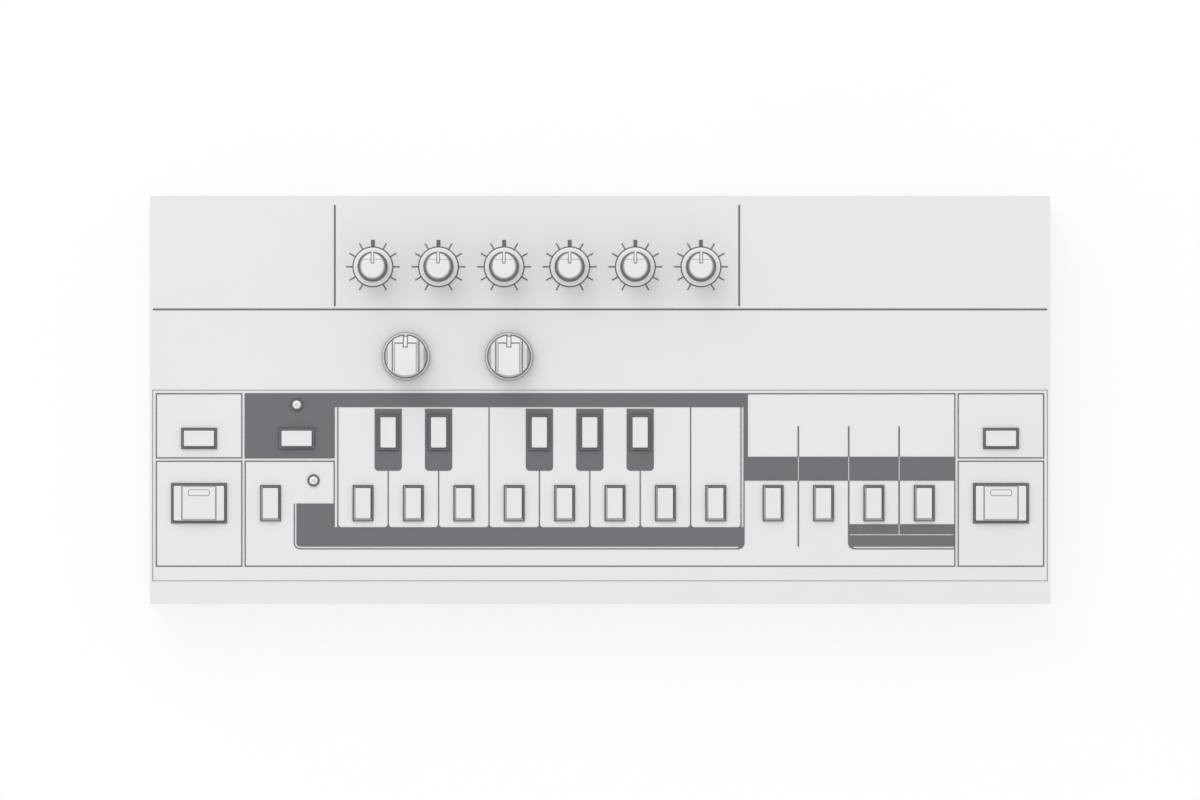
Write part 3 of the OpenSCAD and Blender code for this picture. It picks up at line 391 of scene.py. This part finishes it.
# Round lamps: three-millimetre diodes of milky epoxy with a dome that is flat at its
# tip and a rim below, standing on two tinned leads in the switch board.
tinned = finish(
    "tinned_wire", (0.62, 0.62, 0.6), 0.3, grain=5000, depth=0.004, mottle=0.06, Metallic=1.0
)
lamp_r, lamp_rim_r = 1.55, 1.9
lead_w, lead_pitch = 0.5, 2.2
lamp_low, lamp_high = slope_box("round_leds")
dome_foot = lamp_high.z - 1.0
shape = bmesh.new()
for x in (lamp_low.x + lamp_rim_r, lamp_high.x - lamp_rim_r):
    count = len(shape.verts)
    turned(shape, [(lamp_rim_r, -6.4), (lamp_rim_r, -5.45), (lamp_r, -5.4)] + [
        (lamp_r * cos(a * pi / 20), dome_foot + sin(a * pi / 20)) for a in range(8)
    ] + [
        (0.46, lamp_high.z - 0.06), (0.4, lamp_high.z - 0.1, 2), (0.3, lamp_high.z - 0.1, 2),
        (0.26, lamp_high.z - 0.02)
    ], 40)
    for side in (-lead_pitch / 2, lead_pitch / 2):
        plate(shape, rounded(lead_w, lead_w, 0.05, 2, (side, 0)), lamp_low.z, -6.3, 1)
    here = [p.y for p in slope_points("round_leds") if abs(p.x - x) < 2]
    moved(shape, count, Matrix.Translation((x, (min(here) + max(here)) / 2, 0)))
settle(
    shape, "round_lamps", slope, [lens_plastic, tinned, pale_line], "round_leds", "case"
)


# Small knobs: a dark soft-touch barrel on a pale skirt. The pale plate let into its
# top lies a little to the rear, falls away behind a crease and has the pointer in a
# dark notch that is open at the rim. Round the plate, rings of painted shade grade
# from the dark barrel to the pale plate, in place of a rounded shoulder's shading.
def soft_touch(name, colour, roughness, mottle=0.05):
    """Soft-touch paint: the barrel's dark, or a ring of painted shade round the plate."""
    return finish(
        name, colour, roughness, grain=6000, depth=0.01, mottle=mottle, Specular_IOR_Level=0.25
    )


def pale_moulding(name, colour):
    """Moulded skin of a knob's pale parts."""
    return finish(
        name, colour, 0.4, grain=5200, depth=0.008, mottle=0.015, Specular_IOR_Level=0.35
    )


soft_dark = soft_touch("soft_touch_dark", (0.15, 0.152, 0.16), 0.6)
# Painted shade: three rings, lighter inwards, between the dark barrel and the pale plate.
painted_shade_dark = soft_touch("painted_shade_dark", (0.22, 0.222, 0.23), 0.6)
painted_shade_mid = soft_touch("painted_shade_mid", (0.36, 0.362, 0.37), 0.55, 0.04)
painted_shade_pale = soft_touch("painted_shade_pale", (0.56, 0.56, 0.57), 0.5, 0.04)
knob_pale = pale_moulding("knob_pale", cap_grey)
# Painted light: the skirts are a shade lighter than the other pale parts, to offset the barrel's shadow
# on them.
skirt_painted_light = pale_moulding("skirt_painted_light", (0.87, 0.87, 0.87))


def crease(shape, line, angle, strip=0.0, mat=0):
    """Creases what lies level at the form's top along a line across, lets what is
    behind it fall, and may give a fine strip at the crease a material of its own."""
    level = max(v.co.z for v in shape.verts)
    shape.normal_update()
    bmesh.ops.triangulate(shape, faces=[f for f in shape.faces if len(f.verts) > 4])
    for at in (line - strip / 2, line + strip / 2) if strip else (line,):
        geom = shape.verts[:] + shape.edges[:] + shape.faces[:]
        bmesh.ops.bisect_plane(shape, geom=geom, plane_co=(0, at, 0), plane_no=(0, 1, 0))
    for face in shape.faces:
        middle = face.calc_center_median()
        if strip and abs(middle.y - line) < strip / 2 and middle.z > level - 0.05:
            face.material_index = mat
    for v in shape.verts:
        if v.co.z > level - 0.001 and v.co.y > line:
            v.co.z -= (v.co.y - line) * tan(radians(angle))


def egg(radius, rear, steps=96):
    """Outline of a circle whose rear half reaches further or less far."""
    return [(x, y * rear / radius if y > 0 else y) for x, y in circle(radius, steps)]


def notched(outline, notch, depth):
    """Cuts a straight notch into an outline from its rearmost point."""
    rear = max(y for x, y in outline)
    kept = [(x, y) for x, y in outline if y < 0 or abs(x) > notch + 0.02]
    first = next(i for i, (x, y) in enumerate(kept) if x < 0 and y > 0)
    cut = [(notch, rear), (notch, depth), (-notch, depth), (-notch, rear)]
    return kept[:first] + cut + kept[first:]


across = Matrix(((0, 0, 1, 0), (1, 0, 0, 0), (0, 1, 0, 0), (0, 0, 0, 1)))


def rib(shape, side_view, width, mat=0):
    """Adds a rib of even width across from its side view."""
    count = len(shape.verts)
    plate(shape, side_view, -width / 2, width / 2, mat)
    moved(shape, count, across)


barrel_r = 5.05
plate_r, plate_rear = 3.62, 4.32
notch_w, notch_foot = 1.2, 1.02
shade_w, pointer_w = 1.22, 0.56
crease_line, crease_w, crease_fall = 2.37, 0.3, 7
for node in [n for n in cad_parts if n.endswith("_knob")]:
    low, high = slope_box(node)
    top = high.z - low.z
    place = slope @ Matrix.Translation(((low.x + high.x) / 2, (low.y + high.y) / 2, low.z))
    body = node.replace("_knob", "_control")
    shape = bmesh.new()
    # The skirt takes the lighter pale, which is painted light.
    turned(shape, [(6.2, 0), (6.4, 0.2), (6.4, 0.85), (6.28, 1.08), (6.05, 1.2)], 96, 6)
    # The shoulder's last three rings before the pale plate are painted shade.
    loft(shape, [(egg(r, rear), z, *own) for r, rear, z, *own in (
        (barrel_r, barrel_r, 1.1), (barrel_r, barrel_r, 2.6), (4.98, 4.98, top - 1.7),
        (4.88, 4.92, top - 1.2), (4.65, 4.8, top - 0.8), (4.3, 4.62, top - 0.5),
        (4.1, 4.5, top - 0.4, 2), (3.9, 4.42, top - 0.34, 3), (3.68, 4.36, top - 0.3, 4),
        (3.3, 4.2, top - 0.3, 1)
    )])
    rib(shape, [
        (0.9, top - 0.9), (4.6, top - 0.9), (4.6, top - 0.45), (4.45, top - 0.35),
        (4.3, top - 0.28), (2.4, top - 0.2), (0.9, top - 0.2)
    ], shade_w, 5)
    settle(shape, node + "_barrel", place, [
        soft_dark, knob_pale, painted_shade_dark, painted_shade_mid, painted_shade_pale, line_grey, skirt_painted_light
    ], node, body)
    shape = bmesh.new()
    plate(shape, notched(egg(plate_r, plate_rear), notch_w / 2, notch_foot), top - 0.8, top - 0.02)
    crease(shape, crease_line, crease_fall, crease_w, 1)
    settle(shape, node + "_plate", place, [knob_pale, pale_line], None, body, 0.1)
    shape = bmesh.new()
    rib(shape, [
        (1.34, top - 0.9), (3.8, top - 0.9), (3.9, top - 3), (5.08, top - 3), (5.05, top - 1.5),
        (4.96, top - 1.0), (4.82, top - 0.68), (4.6, top - 0.4), (4.35, top - 0.24),
        (2.4, top - 0.04), (1.34, top - 0.02)
    ], pointer_w)
    settle(shape, node + "_pointer", place, [knob_pale], None, body, 0.04)


# Selector knobs: pale mouldings, each a disc with a groove, two steps and a raised
# grip with sloping sides. The grip's rear falls to the rim behind a crease, and its
# pointer stands in a dark slot there. Fine dark lines mark the edges. Painted shade
# darkens the disc's top ring, the grip's sloping front and the disc's floor by the steps.
groove_shade = ink("groove_paint", dark_grey)
# Painted shade: a grey for the disc's top ring and the grip's sloping front, in place of the shading of
# those slopes.
painted_shade_grey = finish(
    "painted_shade_grey", (0.64, 0.64, 0.65), 0.45, grain=5200, depth=0.008, mottle=0.02,
    Specular_IOR_Level=0.3
)
# Painted shade: a darker grey for the disc's floor beside the steps, where the steps shade it.
recess_shade_grey = finish(
    "painted_recess_shade", (0.52, 0.52, 0.53), 0.5, grain=5200, depth=0.008, mottle=0.02,
    Specular_IOR_Level=0.25
)


def clipped(radius, half_width, steps=80):
    """Outline of a circle cut off straight at both sides."""
    start = pi / 2 - asin(half_width / radius)
    turns = [start + (pi - 2 * start) * i / steps for i in range(steps + 1)]
    upper = [(radius * cos(a), radius * sin(a)) for a in turns]
    return upper + [(-x, -y) for x, y in upper]


step_r, step_half, step_top = 6.9, 6.1, 7.0
grip_r, grip_half, crown_half, crown_front = 6.88, 4.3, 3.65, 0.915
grip_crease, grip_crease_w, grip_fall = 4.43, 0.42, 34
fall = tan(radians(grip_fall))
slot_w, selector_pointer_w = 1.7, 1.06
for node in ("pattern_selector", "mode_selector"):
    low, high = slope_box(node)
    top = high.z - low.z
    place = slope @ Matrix.Translation(((low.x + high.x) / 2, (low.y + high.y) / 2, low.z))
    body = node + "_control"
    shape = bmesh.new()
    # The disc's top ring takes the painted shade grey.
    turned(shape, [
        (7.85, 0, 1), (8.05, 0.2, 1), (8.05, 1.6, 1), (7.95, 1.85, 1), (7.82, 1.95, 1),
        (7.4, 2.0, 2), (7.34, 2.0, 2), (7.3, 1.7, 1), (6.92, 1.7, 1), (6.9, 2.0, 1),
        # The floor inside the groove takes the painted recess shade.
        (6.85, 2.0, 1), (6.5, 2.0, 3)
    ], 96, 3)
    turned(shape, [(0.55, 1.8), (0.55, 2.0), (0.45, 2.2), (0.25, 2.28)], 24, 0, 7.3)
    settle(
        shape, node + "_disc", place, [knob_pale, line_grey, painted_shade_grey, recess_shade_grey],
        node, body
    )
    shape = bmesh.new()
    plate(shape, clipped(step_r, step_half), 1.9, step_top)
    settle(shape, node + "_steps", place, [knob_pale], None, body, 0.15)
    shape = bmesh.new()
    for side in (-1, 1):
        plate(shape, rounded(0.36, 10.3, 0.02, 2, (side * 4.42, 0)), 6.5, step_top + 0.03)
        plate(shape, rounded(0.22, 6.0, 0.02, 2, (side * 6.02, 0)), 6.5, step_top + 0.01, 1)
        count = len(shape.verts)
        rib(shape, [(-5.3, top - 1), (4.3, top - 1), (4.3, top + 0.01), (-5.3, top + 0.01)], 0.22, 2)
        moved(shape, count, Matrix.Translation((side * 3.56, 0, 0)))
    settle(
        shape, node + "_lines", place, [groove_shade, pale_line, line_grey], None, body
    )
    shape = bmesh.new()
    crown = [(x, y if y > 0 else y * crown_front) for x, y in clipped(grip_r, crown_half)]
    loft(shape, [(clipped(grip_r, grip_half), 6.8), (crown, top)])
    crease(shape, grip_crease, grip_fall, grip_crease_w, 1)
    # The grip's sloping front takes the painted shade grey.
    for face in shape.faces:
        middle = face.calc_center_median()
        if middle.y < -4 and abs(middle.x) < 3.7 and middle.z < top - 0.05:
            face.material_index = 2
    settle(
        shape, node + "_grip", place, [knob_pale, groove_shade, painted_shade_grey], None, body, 0.1
    )
    shape = bmesh.new()
    for front, end, rise, width, mat in (
        (2.95, grip_r, 0.01, slot_w, 0), (3.27, 6.55, 0.05, selector_pointer_w, 1)
    ):
        rib(shape, [
            (front, top - 1), (end, top - 3), (end, top - (end - grip_crease) * fall + rise),
            (grip_crease, top + rise), (front, top + rise)
        ], width, mat)
    settle(shape, node + "_pointer", place, [groove_shade, knob_pale], None, body)


# Feet: rubber discs pressed into seats in the case floor, with a rounded rim and a
# ring moulded into the sole.
rubber = finish(
    "foot_rubber", (0.045, 0.045, 0.048), 0.75, grain=2600, depth=0.03, mottle=0.12,
    Specular_IOR_Level=0.35
)
feet_low, feet_high = (corner * 1000 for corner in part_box("feet"))
foot_r = 7.0
shape = bmesh.new()
for x in (feet_low.x + foot_r, feet_high.x - foot_r):
    for y in (feet_low.y + foot_r, feet_high.y - foot_r):
        count = len(shape.verts)
        turned(shape, [
            (3.1, 0.5), (3.2, 0.5), (3.5, 0.1), (3.9, 0), (5.7, 0), (6.2, 0.12), (6.5, 0.5),
            (6.95, 2.8), (foot_r, 3.0), (foot_r, feet_high.z)
        ], 48)
        moved(shape, count, Matrix.Translation((x, y, 0)))
settle(shape, "rubber_feet", millimetres, [rubber], "feet", "case")


# Jack sockets: two large and two small, each a black body on the board with a
# nickelled threaded nose that fills its hole in the rear wall and lies just inside.
nickel = finish(
    "nickel_plate", (0.66, 0.65, 0.62), 0.24, grain=3000, depth=0.003, mottle=0.04, Metallic=1.0
)
socket_black = finish(
    "socket_black", (0.022, 0.022, 0.024), 0.45, grain=4200, depth=0.012, mottle=0.1,
    Specular_IOR_Level=0.4
)


def sleeve(shape, rings, mat=0):
    """Adds a ring-shaped solid that runs through outlines of as many points each and
    back to the first. A ring may carry the material of the skin before it."""
    loops = [[shape.verts.new((x, y, ring[1])) for x, y in ring[0]] for ring in rings]
    for k, a in enumerate(loops):
        k = (k + 1) % len(loops)
        b, ring = loops[k], rings[k]
        for i in range(len(a)):
            j = (i + 1) % len(a)
            side = shape.faces.new((a[i], a[j], b[j], b[i]))
            side.material_index = ring[2] if len(ring) > 2 else mat


def box_outline(width, low, high, steps):
    """Outline of a rectangle whose points spread evenly round the middle."""
    outline = []
    for i in range(steps):
        a = 2 * pi * (i + 0.5) / steps
        sideways = width / 2 / abs(cos(a))
        upwards = (high if sin(a) > 0 else -low) / abs(sin(a))
        outline.append((min(sideways, upwards) * cos(a), min(sideways, upwards) * sin(a)))
    return outline


shape = bmesh.new()
socket_height = -19.6
wall_inside, nose_end = 133.5, slope_box("audio_jacks")[1].y
reach = nose_end - wall_inside
cover, body_top, ring_steps = 2, 6.0, 72
for x, width, length, nose_r, bore_r in (
    (66, 14, 25, 4.5, 3.25), (90, 14, 25, 4.5, 3.25), (-66, 9, 13, 3.0, 1.8), (-82, 9, 13, 3.0, 1.8)
):
    count = len(shape.verts)
    body_low = 0.5 - width / 2
    body_form = box_outline(width, body_low, body_top, ring_steps)
    sleeve(shape, [
        (body_form, cover - length, 1), (body_form, -0.02, 1), (circle(nose_r + 0.1, ring_steps), 0, 1),
        (circle(nose_r, ring_steps), 0.05), (circle(nose_r, ring_steps), reach - 0.3),
        (circle(nose_r - 0.3, ring_steps), reach), (circle(bore_r + 0.4, ring_steps), reach),
        (circle(bore_r, ring_steps), reach - 0.4), (circle(bore_r, ring_steps), reach - 3),
        (circle(bore_r + 0.02, ring_steps), cover - length, 1)
    ])
    plate(shape, [
        (-width / 2, body_low), (width / 2, body_low), (width / 2, body_top), (-width / 2, body_top)
    ], -length, cover - length, 1)
    place = Matrix.Translation((x, wall_inside, socket_height))
    moved(shape, count, place @ Matrix.Rotation(radians(-90), 4, "X") @ Matrix.Rotation(pi, 4, "Z"))
settle(shape, "jack_sockets", slope, [nickel, socket_black], "audio_jacks", "case")
dress("dc_socket", socket_black, 0.15)


# Battery contacts: stamped nickelled plates, and on the front ones a spring wound
# from hard wire that tapers towards the cell.
def spring(shape, start, length, radius, tip, wire, turns=4, steps=20, sides=8):
    """Adds a coil along Y from its start, as a closed tube of wire of that radius."""
    loops = []
    for k in range(turns * steps + 1):
        share = k / (turns * steps)
        a = 2 * pi * turns * share
        r = radius + (tip - radius) * share
        outwards = Vector((cos(a), 0, sin(a)))
        along = start + Vector((0, wire + (length - 2 * wire) * share, 0))
        loops.append([
            shape.verts.new(along + outwards * (r + x) + Vector((0, y, 0)))
            for x, y in circle(wire, sides)
        ])
    for a, b in zip(loops, loops[1:]):
        for i in range(sides):
            j = (i + 1) % sides
            shape.faces.new((a[i], a[j], b[j], b[i]))
    shape.faces.new(loops[0])
    shape.faces.new(loops[-1][::-1])


contact_low, contact_high = (corner * 1000 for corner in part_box("battery_contacts"))
cells, plate_w, plate_t = 6, 10, 0.4
cell_pitch = (contact_high.x - contact_low.x - plate_w) / (cells - 1)
shape = bmesh.new()
for i in range(cells):
    x = contact_low.x + plate_w / 2 + i * cell_pitch
    z = (contact_low.z + contact_high.z) / 2
    for y in (contact_low.y + plate_t, contact_high.y):
        count = len(shape.verts)
        plate(shape, rounded(plate_w, plate_w, 1.2), 0, plate_t)
        moved(shape, count, Matrix.Translation((x, y, z)) @ Matrix.Rotation(radians(90), 4, "X"))
    foot = Vector((x, contact_low.y + 0.3, z))
    spring(shape, foot, length=5, radius=3.6, tip=2.6, wire=0.35)
settle(
    shape, "contacts_and_springs", millimetres, [nickel], "battery_contacts", "case"
)


# Screws and shafts: plated steel. The screws are pan heads with a cross, and the
# shafts are turned rod with a flat for the knob.
steel = finish(
    "plated_steel", (0.52, 0.52, 0.5), 0.32, grain=2200, depth=0.006, mottle=0.08, Metallic=1.0
)
dress("screws", steel, 0.1)
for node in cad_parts:
    if node.endswith("_shaft"):
        dress(node, steel, 0.1)


# Inside: two glass-epoxy boards with green solder mask, the switches and controls
# soldered on them, and the flat cable between the boards.
board = finish("solder_mask", (0.03, 0.12, 0.06), 0.35, grain=900, depth=0.02, mottle=0.25)
for node in ("switch_board", "main_board"):
    dress(node, board, 0.05)
dress("tact_switches", socket_black, 0.15)
dress("potentiometers", steel, 0.2)
dress("rotary_switches", steel, 0.2)
cable = finish("cable_jacket", (0.42, 0.42, 0.43), 0.55, grain=1500, depth=0.05, mottle=0.08)
dress("ribbon_cable", cable, 0.1)


# Studio: a pale table under one broad soft lamp and an even sky. The eye sees the table
# nearly white, with the object's shadow, but less light comes back from it.
def linked(nodes, links, kind, values=(), sources=()):
    """Adds a node with these values, fed from these outputs."""
    node = nodes.new(kind)
    for socket, value in values:
        node.inputs[socket].default_value = value
    for socket, source in sources:
        links.new(source, node.inputs[socket])
    return node


def joined(nodes, links, operation, sources, values=()):
    """Adds a maths node fed from these outputs."""
    node = linked(nodes, links, "ShaderNodeMath", values, enumerate(sources))
    node.operation = operation
    return node.outputs["Value"]


def direct_rays(nodes, links):
    """One for rays that see a surface directly, in a mirror or through glass."""
    rays = nodes.new("ShaderNodeLightPath").outputs
    either = joined(nodes, links, "MAXIMUM", [rays["Is Camera Ray"], rays["Is Glossy Ray"]])
    return joined(nodes, links, "MAXIMUM", [either, rays["Is Transmission Ray"]])


table_bounce = 0.68
table_glow = 0.78
table = bpy.data.meshes.new("table")
form = bmesh.new()
bmesh.ops.create_grid(form, x_segments=1, y_segments=1, size=6)
form.to_mesh(table)
form.free()
table_top = bpy.data.objects.new("table", table)
bpy.context.scene.collection.objects.link(table_top)
paper = bpy.data.materials.new("table_paper")
paper.use_nodes = True
nodes, links = paper.node_tree.nodes, paper.node_tree.links
surface = nodes["Principled BSDF"]
surface.inputs["Roughness"].default_value = 0.9
surface.inputs["Specular IOR Level"].default_value = 0.0
direct = direct_rays(nodes, links)
fibres = linked(nodes, links, "ShaderNodeTexNoise", [("Scale", 300)])
shade = linked(
    nodes, links, "ShaderNodeMapRange", [("To Min", 0.96)], [("Value", fibres.outputs["Fac"])]
)
cast = linked(nodes, links, "ShaderNodeMapRange", [("To Min", table_bounce)], [("Value", direct)])
tone = joined(nodes, links, "MULTIPLY", [shade.outputs["Result"], cast.outputs["Result"]])
links.new(tone, surface.inputs["Base Color"])
white = linked(nodes, links, "ShaderNodeEmission", [("Strength", 1.0)])
glow = joined(nodes, links, "MULTIPLY", [direct], [(1, table_glow)])
mixed = linked(nodes, links, "ShaderNodeMixShader", sources=[
    ("Fac", glow), (1, surface.outputs["BSDF"]), (2, white.outputs["Emission"])
])
links.new(mixed.outputs["Shader"], nodes["Material Output"].inputs["Surface"])
table.materials.append(paper)

sky_strength = 0.87
sky = bpy.data.worlds.new("studio")
bpy.context.scene.world = sky
sky.use_nodes = True
nodes, links = sky.node_tree.nodes, sky.node_tree.links
even = nodes["Background"]
even.inputs["Color"].default_value = (1, 1, 1, 1)
even.inputs["Strength"].default_value = sky_strength
backdrop = [("Color", (1, 1, 1, 1)), ("Strength", 1.0)]
seen = linked(nodes, links, "ShaderNodeBackground", backdrop)
direct = direct_rays(nodes, links)
mixed = linked(nodes, links, "ShaderNodeMixShader", sources=[
    ("Fac", direct), (1, even.outputs["Background"]), (2, seen.outputs["Background"])
])
links.new(mixed.outputs["Shader"], nodes["World Output"].inputs["Surface"])

softbox = bpy.data.lights.new("softbox", "AREA")
softbox.shape = "DISK"
softbox.size = 1.4
softbox.energy = 9
lamp = bpy.data.objects.new("softbox", softbox)
lamp.location = (-0.55, 1.1, 1.6)
lamp.rotation_mode = "QUATERNION"
lamp.rotation_quaternion = Vector(lamp.location).to_track_quat("Z", "Y")
bpy.context.scene.collection.objects.link(lamp)


# Camera: square to the sloping top, from so far that nearly nothing tapers.
camera = bpy.data.cameras.new("camera")
camera.sensor_width = 36
camera.lens = 450
camera.clip_end = 30
view_width = 0.4
away = view_width * camera.lens / camera.sensor_width
middle = slope @ Vector((0, 68, 0))
eye = bpy.data.objects.new("camera", camera)
eye.location = middle + Matrix.Rotation(tilt, 3, "X") @ Vector((0, 0, away))
eye.rotation_euler = (tilt, 0, 0)
bpy.context.scene.collection.objects.link(eye)
bpy.context.scene.camera = eye
bpy.context.scene.view_settings.view_transform = "Standard"
